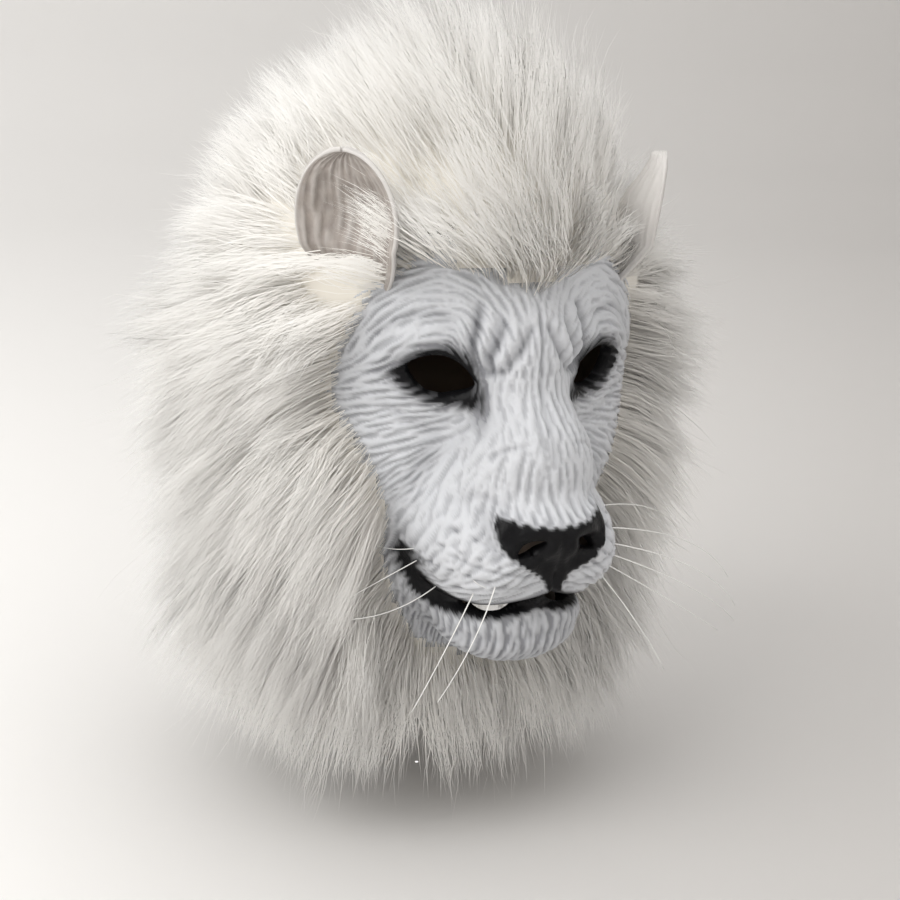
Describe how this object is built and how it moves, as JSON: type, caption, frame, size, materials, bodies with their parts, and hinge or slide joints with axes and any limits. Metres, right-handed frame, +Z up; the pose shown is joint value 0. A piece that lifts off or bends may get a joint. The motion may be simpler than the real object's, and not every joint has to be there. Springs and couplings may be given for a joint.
{
  "type": "latex lion mask",
  "caption": "Full-head lion mask: a hollow latex hood with open eyes, nostrils and mouth, cupped ears and a long white fur mane.",
  "frame": {"origin": "inside of the crown, where the mask sits on a head", "axes": "+Z up, the face looks along -Y, +X to the right of someone who looks at the face"},
  "size_m": [0.3086, 0.3203, 0.3931],
  "materials": {
    "painted_latex": "matte white paint with grey shading in the carved grooves, black round the eyes, nose and lips",
    "ear_latex": "matte grey-brown paint with a white rim",
    "mane_fur": "long ivory-white pile"
  },
  "bodies": {
    "root": {"latex_head": "painted_latex", "ear_left": "ear_latex", "ear_right": "ear_latex", "mane": "mane_fur"}
  },
  "joints": []
}
